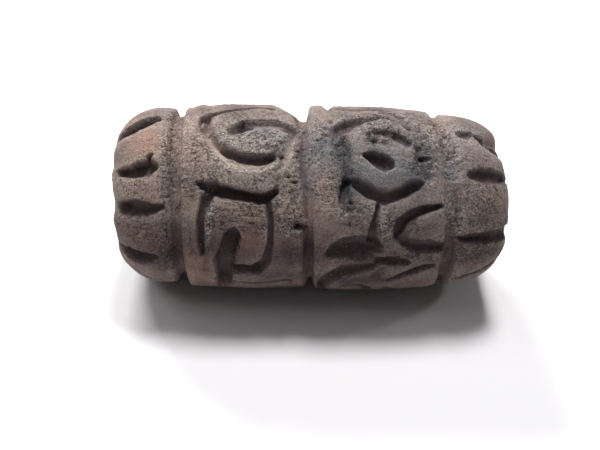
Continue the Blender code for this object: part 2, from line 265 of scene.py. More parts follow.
EYE_HOLLOWS = (
    ("temple", 0.8, 0, ((3.7, 42, 1), (4.1, 36, 1.2), (4.9, 28, 1.3), (5.4, 20, 1.1), (5.7, 12, 0.8))),
    ("brow_floor", 0.6, 0, ((10.6, 41.5, 0.8), (12.2, 41.5, 1.1), (14.4, 37, 1))),
    ("bridge", 0.3, 0, ((9.5, 35, 1), (13, 34, 1.2))),
    ("socket", 0.8, 0, (
        (15.8, 50, 0.9), (16.9, 42, 1.2), (17.3, 32, 1.6), (17.8, 22, 1.5), (18.1, 13, 0.9),
    )),
    ("lid_slope", 0.5, 0, ((10.5, 59, 0.6), (13, 58, 0.8), (15.6, 53, 0.8))),
    ("cheek", 0.5, 0, ((11.5, -47, 1), (11, -54, 1.1), (12, -62, 1))),
    ("lens_tail", 0.5, 0, ((9.5, -34, 0.8), (11, -38, 0.8))),
)
TOP_HOLLOWS = (
    ("behind_rim", 0.5, 0, ((4, 70, 0.5), (6.8, 68, 0.5), (10.6, 70.5, 0.5), (13, 69.5, 0.4))),
    ("rim_dip", 0.8, 0, ((2.9, 68, 0.6), (2.9, 90, 0.8), (3, 112, 0.8))),
    ("right_corner", 1.3, 0, ((29.4, 50, 0.9), (31.7, 57, 1.9))),
    ("left_rim", 0.4, 0, ((-19.6, 72, 0.8), (-19.5, 95, 1), (-19.5, 125, 0.8))),
    ("left_top", 0.3, 0, ((-17.5, 76, 1.6), (-15.5, 95, 2), (-15, 120, 2))),
)

# Where each motif is repeated round the barrel: the angle of its top and how far it is stretched round.
# The first repeat faces the viewer, and what has only one stays at its own angles.
CURL_TOP = 74.0
CURL_REPEATS = ((CURL_TOP, 1.0), (-100.0, 1.12))
EYE_TOP = 62.0
EYE_REPEATS = ((EYE_TOP, 1.0), (-112.0, 1.0))
ARCH_TOP = -42.0
ARCH_REPEATS = ((ARCH_TOP, 1.0), (-216.0, 1.0))
ONCE = ((0.0, 1.0),)

# Notches along the shoulders that face the viewer, strokes like the others
FACING_NOTCHES = (
    ("left_top", 2.3, 0.3, ((-24.7, 56.5, 0.8), (-26.5, 53.5, 1.2), (-28.6, 52, 1.25), (-30.5, 51, 0.9))),
    ("left_upper", 1.75, 0.2, (
        (-24.4, 17.3, 0.75), (-25.7, 16.5, 1.3), (-27.8, 14.8, 1.05), (-29.8, 15.6, 0.7),
    )),
    ("left_upper_nick", 1.2, 0, ((-25.2, 21.5, 0.5), (-25, 25, 0.3))),
    ("left_lower", 1.9, 0.2, (
        (-22.9, -7.2, 0.4), (-25, -8.7, 1.05), (-27.6, -8.5, 1.4), (-29.8, -8.8, 1.1),
    )),
    ("left_bottom", 1.7, 0, (
        (-24.4, -42.8, 0.5), (-26.2, -44, 1.25), (-28.7, -47, 1.6), (-30.3, -47.5, 1.2),
    )),
    ("right_top_scrape", 0.9, 0.3, ((23.6, 49, 0.4), (24.5, 47.8, 0.85), (25.9, 50, 0.5))),
    ("right_top", 1.6, 0.5, ((26.7, 48.8, 0.4), (27.8, 46.6, 0.85), (29, 44.6, 1), (31.2, 42.6, 0.8))),
    ("right_upper", 1.25, 0.1, (
        (24.6, 16.5, 0.4), (25.7, 16.8, 0.95), (27.9, 16.9, 1.35), (30.8, 18, 0.95),
    )),
    ("right_lower", 1.4, 0.1, (
        (23.4, -25, 0.4), (25.3, -25.5, 0.85), (28.5, -26.4, 1.1), (31.2, -27.3, 1.2),
    )),
    ("right_bottom", 1.5, 0, ((24, -66, 0.4), (27.2, -63, 0.7), (30.4, -60, 0.7))),
)

# The thin seam in the worn part of the middle ring
MIDDLE_SEAM = (
    ("seam", 0.9, 0, (
        (-0.8, -12, 0.3), (-0.9, 4, 0.35), (-1.3, 19, 0.4), (-1.2, 30, 0.45), (-1.1, 46, 0.3),
    )),
)

# Notches of the hidden side: their angles, inner and outer end along X, half width and depth. Their
# ends are off straight by up to HIDDEN_SLANT degrees.
HIDDEN_LEFT = ((-76, -107, -138, -169, -200, -231, -262), -23.8, -29.9, 1.25, 2.0)
HIDDEN_RIGHT = ((-106, -146, -186, -226, -265), 23.9, 30.4, 1.1, 1.9)
HIDDEN_SLANT = 2.5

# How far the worn ends fall short of the full length, at angles round the barrel, and where along X
# that starts to count
LEFT_WORN = (
    (-150, 0.4), (-80, 0.5), (-36, 0.7), (-24, 0.4), (-10, 0.85), (0, 0.5), (8, 0.25), (18, 0.1),
    (26, 0.35), (40, 0.1), (110, 0.1),
)
RIGHT_WORN = (
    (-120, 0.4), (-65, 0.2), (-42, -0.5), (-25, -0.35), (5, -0.1), (25, 0.4), (36, 0.6), (44, 0.6),
    (49, 1), (57, 1.4), (66, 1.2), (74, 0.6), (86, 0), (105, 0.2), (170, 0.5),
)
WORN_FROM = 21

# The right end is ground off a little towards the top: how far, the middle angle and the reach round it
GROUND_END = (0.75, 86.0, 25.0)

# The old break along the left panel's upper rim: where its low edge is and how far past it the break
# still counts, its middle angle, its depth and its rise in degrees
CHIP_X = -1.4
CHIP_PAST = 0.6
CHIP_ANGLE = 88.0
CHIP_DEPTH = 2.4
CHIP_SLOPE = 27.0

# Deep pits that stand out one by one: place along X, angle, radius and depth. Along X they are longer
# by a factor.
PITS = (
    (-1.8, -17.5, 0.52, 1.35), (-2.4, 8.5, 0.35, 0.7), (-3.4, 12, 0.3, 0.6), (-3.9, 44, 0.45, 0.8),
    (-4.6, 24, 0.35, 0.8), (-4.7, 33, 0.3, 0.6), (-17.2, 44, 0.35, 0.6), (-2.6, -56, 0.3, 0.5),
    (9.2, 40.5, 0.35, 0.6), (9.9, 36, 0.35, 0.6), (15.3, 50.5, 0.5, 0.8), (3.1, 51.5, 0.4, 0.6),
    (17, 26, 0.5, 0.7), (16.8, 33, 0.45, 0.6), (21.7, 47, 0.35, 0.5), (6.2, -3, 0.3, 0.5),
)
PIT_LENGTH = 1.25

# Broad patches: place along X, angle, reach along X, reach in degrees, and strength. They are crumbled
# and finely cracked clay, soot, grey ash, reddened clay, painted shade in dark purple, most of it on the
# lower side, painted light where the light falls strongest, rough pale crust and white chalk.
STRONGEST_PATCH = 1.2
CRUMBLED = (
    (-5.7, 29, 1, 16, 1.1), (-2, 28, 0.8, 26, 0.9), (-7.5, 41, 4, 6, 0.7), (-3, 8, 1.8, 12, 0.8),
    (-2.6, -16, 2, 8, 0.7), (-15.5, -14, 0.9, 14, 0.4), (-16.5, 5, 1.6, 5, 0.8), (-16.8, 46, 1.2, 10, 0.7),
    (1.2, 38, 1.4, 18, 0.8), (4.6, 30, 1.6, 14, 1), (5.4, 16, 1.2, 7, 0.9), (9.5, 38, 1.1, 6, 1.1),
    (17.4, 26, 2, 15, 1.1), (12, 42, 3.4, 8, 1), (6.6, -12, 2.2, 5, 0.5), (21.6, 34, 1.4, 30, 0.8),
    (19.5, 54, 2.5, 10, 0.8), (16, -36, 3, 5, 0.7), (-22.4, 20, 0.9, 50, 0.8), (-22, -44, 1.6, 12, 0.8),
    (-19.6, 10, 1, 40, 0.4), (22.4, -10, 1.2, 12, 0.7), (5, 130, 14, 40, 0.5), (-12, -150, 12, 30, 0.5),
)
CRACKED = (
    (-10.5, -12, 5, 9, 1.2), (-3.4, -6, 2.2, 14, 1), (-19, 4, 1.6, 8, 0.9), (2.6, 5, 2, 14, 1.1),
    (27, -36, 5, 12, 0.6), (-27, -22, 5, 10, 0.6), (14, -14, 5, 8, 0.6), (-18, 30, 1.5, 8, 0.7),
    (14, 60, 5, 8, 0.8), (8, -7, 3, 5, 0.8), (-5, 160, 16, 40, 0.6),
)
SOOT = (
    (11, 33, 4.5, 9, 0.75), (4.8, 27, 1.4, 12, 1), (5.8, 14, 1.3, 6, 1.1), (3.4, 38, 1.6, 8, 0.6),
    (17.6, 27, 2.4, 16, 0.9), (14.5, 38, 2.5, 8, 0.8), (5.3, 4, 1.2, 8, 1.6), (8, 5, 3, 4, 0.6),
    (15.5, 9, 3, 6, 0.8), (14, 150, 8, 30, 0.7),
)
ASH = (
    (11.5, 18, 6, 16, 1.1), (16, 14, 3, 12, 1.1), (12.5, 26, 10, 45, 0.45), (25, 34, 7, 34, 0.4),
    (21.9, 20, 1.2, 13, 1.1), (22.3, 2, 1.2, 12, 0.5), (2, 29, 3.4, 13, 1.1), (-0.6, 12, 1.1, 12, 0.9),
    (4.2, 28, 2.4, 20, 1), (17.3, 28, 2.2, 18, 0.8), (3.8, 44, 2.5, 8, 0.7), (-8, 44, 4.5, 7, 0.8),
    (-5, 34, 2, 14, 0.7),
)
BLUSH = (
    (-26, 33, 3, 14, 1), (-18, 28, 2.6, 16, 0.6), (2.8, 3, 1.6, 11, 0.85), (-3.4, -6, 2.4, 9, 0.6),
    (-1, -8, 6, 20, 0.4), (-19, -2, 2.6, 16, 0.45), (-28.5, 44, 3, 18, 0.35), (-9, -11, 5, 8, 0.65),
    (27.6, 4, 2.8, 10, 0.7), (-9, -25, 5, 12, 0.5), (-18.5, -50, 2.5, 22, 0.5), (27, 30, 3, 12, 0.4),
    (-27, 2, 3.5, 14, 0.7), (-26, -25, 3, 10, 0.4), (19, 52, 3, 12, 0.4), (-8, 160, 9, 30, 0.7),
)
# Painted shade in dark purple, most of it on the lower side
PAINTED_SHADE = (
    (-26, 33, 3, 12, 0.12), (-11.5, 1.5, 6, 3.5, 0.4), (0, 72, 30, 10, 0.2), (-27, 62, 4, 10, 0.35),
    (-23, -40, 10, 20, 1.1), (-13, -33, 9, 18, 1.15), (-2, -36, 9, 16, 1.1), (-6, -54, 9, 12, 0.8),
    (9, -58, 10, 12, 1), (9, -39, 9, 18, 0.95), (24, -42, 8, 22, 0.7), (-0.3, -42, 0.9, 26, 0.9),
    (27, -2, 4.5, 20, 0.45), (16, -22, 4, 12, 0.6), (-12, 66, 6, 12, 0.6),
)
# Painted light: lighter clay where the light falls strongest
SUNLIT = (
    (-12, 22, 8, 20, 1), (-17.5, -6, 6, 12, 1), (-3.6, 2, 4, 16, 1.15), (-9, -8, 5, 8, 0.85),
    (2.7, 3, 1.9, 13, 1.6), (-3.5, 27, 0.8, 14, 1.2), (-3.4, -6, 2.4, 10, 1.2), (26, 14, 2, 8, 0.9),
    (21.7, 20, 1.5, 22, 0.8), (-15.3, -13, 0.7, 16, 1.1), (4.9, -8.5, 0.9, 3.2, 1.2),
    (-4.6, 20, 2.6, 24, 1.1), (-9, 15, 5, 5, 0.9), (13, 35, 4, 4, 0.5), (1, 38, 2, 10, 0.5),
    (19, 50, 3, 14, 0.6), (-28.2, 2, 4, 14, 1.1), (9, -5, 4, 8, 0.7), (18, -6, 3, 8, 0.4),
    (28, 8, 4, 14, 0.5),
)
CRUST = (
    (-9, -10, 5, 7, 0.6), (-28, 4, 3.5, 18, 0.7), (3.4, 8, 2.2, 14, 0.5), (27, 2, 4.5, 24, 0.7),
    (-3, -6, 3, 16, 0.65), (-14, 20, 6, 14, 0.9), (-15.6, -16, 0.8, 14, 1.2), (-17, 6, 0.8, 4, 1),
    (-10, 32, 8, 24, 1), (-7.5, 10, 5, 7, 0.7), (-22.2, 30, 1.3, 50, 0.8), (-1.8, 30, 1.8, 28, 0.8),
    (9, 52, 5, 12, 0.7), (18, 40, 4, 24, 0.6), (12, -14, 3, 12, 0.6), (22.4, -8, 1.6, 22, 0.9),
    (4.9, -8.5, 0.9, 4, 1.2), (11.2, -15, 0.8, 7, 1.1), (8, -6, 5, 8, 0.5), (26, 52, 4, 14, 0.5),
    (0, 180, 20, 50, 0.5),
)
CHALK = (
    (-15, -7, 0.5, 5, 0.9), (-15.8, -18, 0.5, 9, 1), (-16.3, 2.5, 0.9, 2.5, 0.9),
    (4.9, -8.5, 0.8, 3.4, 1.1), (11.4, -15, 0.6, 7, 0.8), (23.1, -14, 0.7, 9, 0.6),
    (-3.2, -21, 1.2, 2.5, 0.7), (-6.7, -22, 0.4, 6, 0.5),
)
COLOUR_PATCHES = {
    "soot": SOOT, "ash": ASH, "blush": BLUSH, "crust": CRUST,
    "painted_shade": PAINTED_SHADE, "sunlit": SUNLIT, "chalk": CHALK,
}

# Camera: place in millimetres, and pitch, roll and turn in degrees
CAMERA_PLACE = (-4.02, -126.99, 104.12)
CAMERA_TURN = (53.243, -1.4, -0.203)
CAMERA_LENS = 54.72
CAMERA_SENSOR = 36.0

# Lamps: how far left and back of the seal they stand as shares of their height, distance, width and
# depth in millimetres, and their share of the light on the floor
LAMPS = {
    "key": (-0.09, 0.27, 600, 130, 170, 0.7),
    "left_window": (0.84, 0.0, 600, 420, 190, 0.118),
    "back_window": (0.53, 1.15, 900, 430, 85, 0.6),
    "right_lamp": (-1.39, 0.26, 900, 80, 80, 0.045),
}
FLOOR_LIGHT = 13.3
SKY_COLOUR = (0.97, 0.93, 1.0)
SKY_STRENGTH = 0.09
FLOOR_COLOUR = (0.80, 0.79, 0.80)
FLOOR_SIDE = 3.0

CLAY_BROWN = (0.235, 0.170, 0.143, 1)
CLAY_DARK = (0.125, 0.092, 0.086, 1)
# Lighter clay of the painted light
PAINTED_LIGHT_CLAY = (0.400, 0.322, 0.277, 1)
CLAY_RED = (0.34, 0.196, 0.145, 1)
# Dark purple of the painted shade
PAINTED_SHADE_PLUM = (0.052, 0.031, 0.036, 1)
CLAY_BUFF = (0.42, 0.375, 0.330, 1)
SOOT_GREY = (0.050, 0.056, 0.062, 1)
ASH_GREY = (0.165, 0.175, 0.190, 1)
# Dark of the grooves: part dirt, part painted shade
GROOVE_DIRT_AND_SHADE = (0.110, 0.080, 0.086, 1)
PIT_BLACK = (0.014, 0.011, 0.011, 1)
CRUMB_GAP = (0.060, 0.048, 0.048, 1)
GRIT_WHITE = (0.60, 0.58, 0.55, 1)

# How deep the material's own relief is, in millimetres, for grain finer than the grid
RELIEF_DEPTH = 0.28

# A mix node's sockets for colours: its two inputs and its output, which share their names with others
MIX_FIRST = 6
MIX_SECOND = 7
MIX_RESULT = 2


def smooth_rise(start, end, value):
    """0 up to start, 1 past end, and between them three times the square less twice the cube."""
    share = np.clip((value - start) / (end - start), 0, 1)
    return share * share * (3 - 2 * share)


def turned_by(angle, middle):
    """Degrees from a middle angle, the short way round, from -180 to 180."""
    return (angle - middle + 180) % 360 - 180


def shoulder_radius(distance, band):
    """Radius of an end band at a distance past the start of its shoulder, along a superellipse."""
    radius, length, drop, fullness = band
    out = np.clip(distance / length, 0, 1)
    return radius - drop * (1 - (1 - out**fullness) ** (1 / fullness))


def land_radius(x):
    """Radius of the uncarved barrel: two shoulders, a panel that sags with the square of the distance from
    its middle, and a panel that tapers with the square of the distance past TAPER_START."""
    left_panel = PANEL_RADIUS - PANEL_SAG * ((x + HALF_PANEL) / HALF_PANEL) ** 2
    right_panel = PANEL_RADIUS - PANEL_TAPER * (np.maximum(x - TAPER_START, 0) / TAPER_LENGTH) ** 2
    left_band = shoulder_radius(LEFT_BAND[1] - HALF - x, LEFT_BAND)
    right_band = shoulder_radius(x - HALF + RIGHT_BAND[1], RIGHT_BAND)
    past_left, past_middle, past_right = [smooth_rise(step - 1, step + 1, x) for step in RADIUS_STEPS]
    radius = left_band + past_left * (left_panel - left_band)
    radius = radius + past_middle * (right_panel - left_panel)
    return radius + past_right * (right_band - right_panel)


def outside_rows():
    """Places along X of the outside's rows, a set arc length apart: wider apart on the end bands."""
    x = HALF * np.sin(np.linspace(-math.pi / 2, math.pi / 2, PROFILE_SAMPLES))
    radius = land_radius(x)
    spacing = np.where(np.abs(x) < BAND_START, PANEL_STEP, BAND_STEP)
    # The panels' radius steps a little at a ring, where the groove takes it away, so X alone counts there
    drop = np.where(np.abs(x[1:]) > BAND_START, np.diff(radius), 0)
    walked = np.concatenate([[0], np.cumsum(np.hypot(np.diff(x), drop) / spacing[1:])])
    return np.interp(np.linspace(0, walked[-1], int(walked[-1]) + 1), walked, x)


def seal_profile():
    """The closed profile as rows of X, radius and outward normal, and a share that is 1 on the outside.

    It goes over the outside from left to right, in across the right end face with evenly spaced radii,
    back along the bore between its two flares, and out across the left end face. The normal is the
    direction between a row's neighbours, turned by a quarter.
    """
    outside = outside_rows()
    rim = BORE_RADIUS + BORE_FLARE
    mouth = HALF - BORE_FLARE
    right_face = np.linspace(land_radius(HALF), rim, FACE_ROWS + 1)[1:]
    left_face = np.linspace(rim, land_radius(-HALF), FACE_ROWS + 1)[:-1]
    bore = np.linspace(mouth, -mouth, BORE_ROWS)
    x = np.concatenate([outside, np.full(FACE_ROWS, HALF), bore, np.full(FACE_ROWS, -HALF)])
    radius = np.concatenate([land_radius(outside), right_face, np.full(BORE_ROWS, BORE_RADIUS), left_face])
    along = np.roll(x, -1) - np.roll(x, 1)
    rise = np.roll(radius, -1) - np.roll(radius, 1)
    length = np.hypot(along, rise)
    on_outside = np.arange(len(x)) < len(outside)
    return x, radius, -rise / length, along / length, on_outside


def seal_grid():
    """The grid's places: X, angle and radius at every row and column, and the profile's normals.

    Columns crowd towards CLOSEST_ANGLE: an even turn less a sine of itself, scaled by CLOSER_BY.
    """
    turn = np.arange(COLUMNS) / COLUMNS - 0.5
    angle = CLOSEST_ANGLE + 360 * (turn - CLOSER_BY * np.sin(2 * math.pi * turn) / (2 * math.pi))
    x, radius, normal_x, normal_out, on_outside = seal_profile()
    ones = np.ones(COLUMNS)
    return SimpleNamespace(
        x=np.outer(x, ones),
        radius=np.outer(radius, ones),
        normal_x=np.outer(normal_x, ones),
        normal_out=np.outer(normal_out, ones),
        outside=np.outer(on_outside, ones),
        angle=np.outer(np.ones(len(x)), angle),
    )


def hills(grid, cell, number, stretch=1.0):
    """Random hills, about `cell` millimetres apart and `stretch` times longer along X, from about -1 to 1.

    Each corner of a lattice has a random slope. A point blends its four corners' slopes, each times the
    distance to that corner, with weights that ease in and out. The lattice meets itself round the barrel.
    """
    about = max(5, round(2 * math.pi * PANEL_RADIUS / cell))
    across = (grid.x + 1.5 * HALF) / (cell * stretch)
    around = (grid.angle % 360) / 360 * about
    column = np.floor(across).astype(int)
    row = np.floor(around).astype(int)
    u = across - column
    v = around - row
    random = np.random.default_rng(SEED + number)
    directions = random.uniform(0, 2 * math.pi, (int(across.max()) + 3, about))
    total = np.zeros_like(grid.x)
    for right in (0, 1):
        for up in (0, 1):
            slope = directions[column + right, (row + up) % about]
            climb = np.cos(slope) * (u - right) + np.sin(slope) * (v - up)
            total += climb * smooth_rise(1, 0, np.abs(u - right)) * smooth_rise(1, 0, np.abs(v - up))
    return HILL_GAIN * total


def layered(grid, layers):
    """Layers of hills added up, each as its height, the size of its hills and its own number."""
    return sum(height * hills(grid, cell, number) for height, cell, number in layers)


def rough_ground(grid, cell, octaves, number):
    """Hills of several sizes added up, each half as big and half as high as the one before."""
    return layered(grid, [(1 / 2**step, cell / 2**step, number + step) for step in range(octaves)])


def patches(grid, blobs, wander):
    """Strength of a set of broad patches: bells along X and round the barrel, pushed about by `wander`."""
    strength = np.zeros_like(grid.x)
    for x, angle, reach, reach_round, amount in blobs:
        away_x = (grid.x - x) / reach
        away_round = turned_by(grid.angle, angle) / reach_round
        strength = np.maximum(strength, amount * np.exp(-(away_x**2 + away_round**2) * (1 + wander)))
    return np.clip(strength, 0, STRONGEST_PATCH)


def stroke_path(points):
    """Places on a Catmull-Rom curve through a stroke's points, as rows of X, angle and half width."""
    points = np.array(points, float)
    t = np.linspace(0, len(points) - 1, STROKE_STEPS)
    span = np.minimum(t.astype(int), len(points) - 2)
    u = (t - span)[:, None]
    a = points[np.maximum(span - 1, 0)]
    b = points[span]
    c = points[span + 1]
    d = points[np.minimum(span + 2, len(points) - 1)]
    squared = (2 * a - 5 * b + 4 * c - d) * u**2
    cubed = (3 * b - a - 3 * c + d) * u**3
    return 0.5 * (2 * b + (c - a) * u + squared + cubed)


def distance_share(grid, path):
    """Distance of every point to a stroke, as a share of its half width there, that half width, and
    how squarely the point lies below the stroke, from -1 right above it to 1 right below."""
    per_degree = math.radians(1) * np.maximum(grid.radius, SMALLEST_RADIUS)
    nearest = np.full_like(grid.x, FAR_SHARE)
    width = np.zeros_like(grid.x)
    below = np.zeros_like(grid.x)
    for (x, angle, wide), (next_x, next_angle, next_wide) in zip(path, path[1:]):
        step_x = next_x - x
        step_round = (next_angle - angle) * per_degree
        away_x = grid.x - x
        away_round = turned_by(grid.angle, angle) * per_degree
        share = (away_x * step_x + away_round * step_round) / (step_x**2 + step_round**2 + 1e-9)
        share = np.clip(share, 0, 1)
        off_round = away_round - share * step_round
        off = np.hypot(away_x - share * step_x, off_round)
        here = wide + share * (next_wide - wide)
        nearer = off / here < nearest
        nearest = np.where(nearer, off / here, nearest)
        width = np.where(nearer, here, width)
        below = np.where(nearer, -off_round / (off + 1e-9), below)
    return nearest, width, below


def gouged(grid, depth, lean, points):
    """Depth across a gouged groove, and how far a point is painted dark, part dirt and part painted shade,
    because it is inside one, from 0 to 1.

    The depth is full on the groove's floor and eases to nothing at its rim, past a worn lip. On the side
    that leans back the groove is wider by the lean, and its floor ends sooner.
    """
    share, width, below = distance_share(grid, stroke_path(points))
    wider = 1 + np.maximum(lean * below, 0)
    share = share / wider * (1 + grid.ragged)
    widest = max(wide for _, _, wide in points)
    deep = depth * (width / widest) ** NARROW_POWER
    wall = deep * (1 - smooth_rise(FLOOR_EDGE / wider**1.5, RIM_EDGE, share))
    lip = LIP_WEAR * np.exp(-((share / RIM_EDGE) ** 2)) * np.minimum(deep, LIP_DEPTH)
    return wall + lip, (1 - smooth_rise(*DARK_EDGE, share)) * smooth_rise(*DARK_DEPTH, deep)


def hollowed(grid, depth, lean, points):
    """Depth across a worn hollow: a bell that has all but gone at one and a half half widths."""
    share, _, below = distance_share(grid, stroke_path(points))
    share = share / (1 + np.maximum(lean * below, 0))
    return depth * np.exp(-HOLLOW_FALL * share * share)


def placed_strokes(strokes, top, repeats):
    """Every stroke of a motif at each of its repeats, as depth, lean and points."""
    for placed_top, stretch in repeats:
        for _, depth, lean, points in strokes:
            placed = [(x, placed_top + (angle - top) * stretch, wide) for x, angle, wide in points]
            yield depth, lean, placed


def hidden_notches(notches):
    """The lens-shaped notches of the hidden side, each turned a little off straight."""
    angles, inner, outer, half_width, depth = notches
    for number, angle in enumerate(angles, 1):
        slant = HIDDEN_SLANT * math.sin(2.4 * number)
        yield depth, 0.0, (
            (inner, angle + slant, 0.6 * half_width),
            ((inner + outer) / 2, angle, half_width),
            (outer, angle - slant, 0.75 * half_width),
        )


def carve_strokes(grid):
    """Depth of all gouged strokes and notches, the deeper one where two cross, and how far they are painted
    dark with dirt and painted shade.
    """
    strokes = [
        *placed_strokes(CURL_AND_HOOK, CURL_TOP, CURL_REPEATS),
        *placed_strokes(EYE_AND_FORK, EYE_TOP, EYE_REPEATS),
        *placed_strokes(SLASH_AND_ARCH, ARCH_TOP, ARCH_REPEATS),
        *placed_strokes(FACING_NOTCHES, 0, ONCE),
        *placed_strokes(MIDDLE_SEAM, 0, ONCE),
        *hidden_notches(HIDDEN_LEFT),
        *hidden_notches(HIDDEN_RIGHT),
    ]
    depth = np.zeros_like(grid.x)
    inside = np.zeros_like(grid.x)
    for stroke in strokes:
        deep, within = gouged(grid, *stroke)
        depth = np.maximum(depth, deep)
        inside = np.maximum(inside, within)
    return depth, inside


def deepest_hollow(grid, strokes):
    """Depth of a set of worn hollows, the deeper one where two meet."""
    depth = np.zeros_like(grid.x)
    for stroke in strokes:
        depth = np.maximum(depth, hollowed(grid, *stroke))
    return depth


def wear_hollows(grid):
    """Depth of all the worn hollows, and of those round the facing curl alone."""
    facing, *hidden = CURL_REPEATS
    round_curl = deepest_hollow(grid, placed_strokes(CURL_HOLLOWS, CURL_TOP, [facing]))
    others = [
        *placed_strokes(CURL_HOLLOWS, CURL_TOP, hidden),
        *placed_strokes(EYE_HOLLOWS, EYE_TOP, EYE_REPEATS),
        *placed_strokes(TOP_HOLLOWS, 0, ONCE),
    ]
    return np.maximum(round_curl, deepest_hollow(grid, others)), round_curl


def round_rings(grid):
    """Depths of the three ring grooves' cuts and of the valleys round them, both swaying along X."""
    cut = np.zeros_like(grid.x)
    valley = np.zeros_like(grid.x)
    for half_width, *by_angle in RINGS:
        deep, worn, middle = [np.interp(grid.angle, *zip(*values), period=360) for values in by_angle]
        share = np.abs(grid.x - middle) / half_width
        cut = np.maximum(cut, deep * (1 - smooth_rise(FLOOR_EDGE, RIM_EDGE + RING_RIM_OUT, share)))
        valley = np.maximum(valley, worn * np.exp(-0.5 * share * share))
    return cut, valley


def broken_rim(grid):
    """Depth of the old break: what stands above a sloping plane over the left panel's rim."""
    rise = (CHIP_X - grid.x) * math.tan(math.radians(CHIP_SLOPE))
    away = np.radians(turned_by(grid.angle, CHIP_ANGLE))
    plane = (land_radius(np.array(CHIP_X)) - CHIP_DEPTH + rise) / np.maximum(np.cos(away), 0.2)
    below = np.where(grid.x < CHIP_X + CHIP_PAST, grid.radius - plane, 0)
    return np.clip(below, 0, CHIP_DEPTH)


def press_pits(grid, crumbled):
    """Depth of pits: single bowls with ragged edges, and small ragged craters where the clay crumbled."""
    ragged = 1 + layered(grid, RAGGED_PITS)
    total = np.zeros_like(grid.x)
    for x, angle, radius, pit_depth in PITS:
        away_x = (grid.x - x) / PIT_LENGTH
        away_round = turned_by(grid.angle, angle) * PANEL_DEGREE
        off = (away_x**2 + away_round**2) * ragged / (radius * radius)
        total = np.maximum(total, pit_depth * np.exp(-off))
    craters = smooth_rise(0.2, 0.9, layered(grid, CRATERS) + 0.3 * crumbled - 0.1)
    return np.maximum(total, CRATER_DEPTH * np.minimum(crumbled, 1) * craters)


def blurred(values, passes):
    """Each value blended with its neighbours along the rows and columns, a number of times over."""
    for _ in range(passes):
        values = (np.roll(values, 1, 0) + 2 * values + np.roll(values, -1, 0)) / 4
        values = (np.roll(values, 1, 1) + 2 * values + np.roll(values, -1, 1)) / 4
    return values


def freehand(grid):
    """The grid with its places pushed about by small hills, so that strokes run as a hand would cut
    them, and with the ragged share by which their edges come and go."""
    moved = SimpleNamespace(**vars(grid))
    moved.x = grid.x + layered(grid, STRAY_ALONG)
    moved.angle = grid.angle + layered(grid, STRAY_ROUND) / PANEL_DEGREE
    moved.ragged = layered(grid, RAGGED_STROKES)
    return moved


def worn_ends(grid):
    """How far each point near an end is drawn in along X: not at all at the rings and round the bore."""
    left = np.interp(grid.angle, *zip(*LEFT_WORN), period=360)
    right = np.interp(grid.angle, *zip(*RIGHT_WORN), period=360)
    reach = smooth_rise(WORN_FROM, HALF, np.abs(grid.x)) ** 1.5
    reach = reach * smooth_rise(BORE_RADIUS + BORE_FLARE, land_radius(HALF), grid.radius)
    return reach * np.where(grid.x < 0, left, -right)


def worn_surface(grid, crumbled, carved):
    """Height of the clay's own unevenness: slow swells, hand smoothing along X, and crumbled grit."""
    swell = layered(grid, SWELLS)
    smoothing = SMOOTHING_HEIGHT * hills(grid, *SMOOTHING)
    grit = (FIRM_GRIT + CRUMBLED_GRIT * crumbled) * rough_ground(grid, *GRIT)
    lumps = crumbled * rough_ground(grid, *LUMPS)
    on_land = 1 - 0.6 * smooth_rise(0.3, 1.2, carved)
    return swell + (smoothing + grit + LUMP_HEIGHT * lumps) * on_land


def place_surface(grid, height):
    """Points in metres: each moved along its normal by the height, then turned round the barrel's axis."""
    x = grid.x + grid.normal_x * height + worn_ends(grid)
    radius = grid.radius + grid.normal_out * height
    turn = np.radians(grid.angle + FACING_TURN)
    y = -np.cos(turn) * radius
    z = AXIS_HEIGHT + np.sin(turn) * radius
    ground, middle, reach = GROUND_END
    ground = ground * np.exp(-((turned_by(grid.angle, middle) / reach) ** 2))
    # The seal lies on a small worn flat, and the clay never stands beyond the box of the solid
    x = np.clip(x, -HALF, HALF - ground)
    y = np.clip(y, -PANEL_RADIUS, PANEL_RADIUS)
    z = np.clip(z, 0, AXIS_HEIGHT + PANEL_RADIUS)
    return np.stack([x, y, z], axis=-1) * MM


def ring_quads(rows, columns):
    """Corner numbers of the quads of a grid that closes on itself both ways, facing outwards."""
    number = np.arange(rows * columns).reshape(rows, columns)
    ahead = np.roll(number, -1, 0)
    return np.stack([number, np.roll(number, -1, 1), np.roll(ahead, -1, 1), ahead], axis=-1).reshape(-1, 4)


def add_object(name, data):
    """A new object of the scene, at the origin until it is moved."""
    made = bpy.data.objects.new(name, data)
    bpy.context.scene.collection.objects.link(made)
    return made


def mesh_from_grid(name, points, quads):
    """A smooth-shaded mesh from arrays of points and of quads' corner numbers."""
    mesh = bpy.data.meshes.new(name)
    mesh.vertices.add(len(points))
    mesh.vertices.foreach_set("co", points.astype(np.float32).ravel())
    mesh.loops.add(quads.size)
    mesh.loops.foreach_set("vertex_index", quads.astype(np.int32).ravel())
    mesh.polygons.add(len(quads))
    mesh.polygons.foreach_set("loop_start", np.arange(0, quads.size, 4, dtype=np.int32))
    mesh.update(calc_edges=True)
    mesh.shade_smooth()
    return mesh


def store(mesh, name, values):
    """Keeps one number for every vertex, for the clay's material to read."""
    attribute = mesh.attributes.new(name, "FLOAT", "POINT")
    attribute.data.foreach_set("value", values.astype(np.float32).ravel())


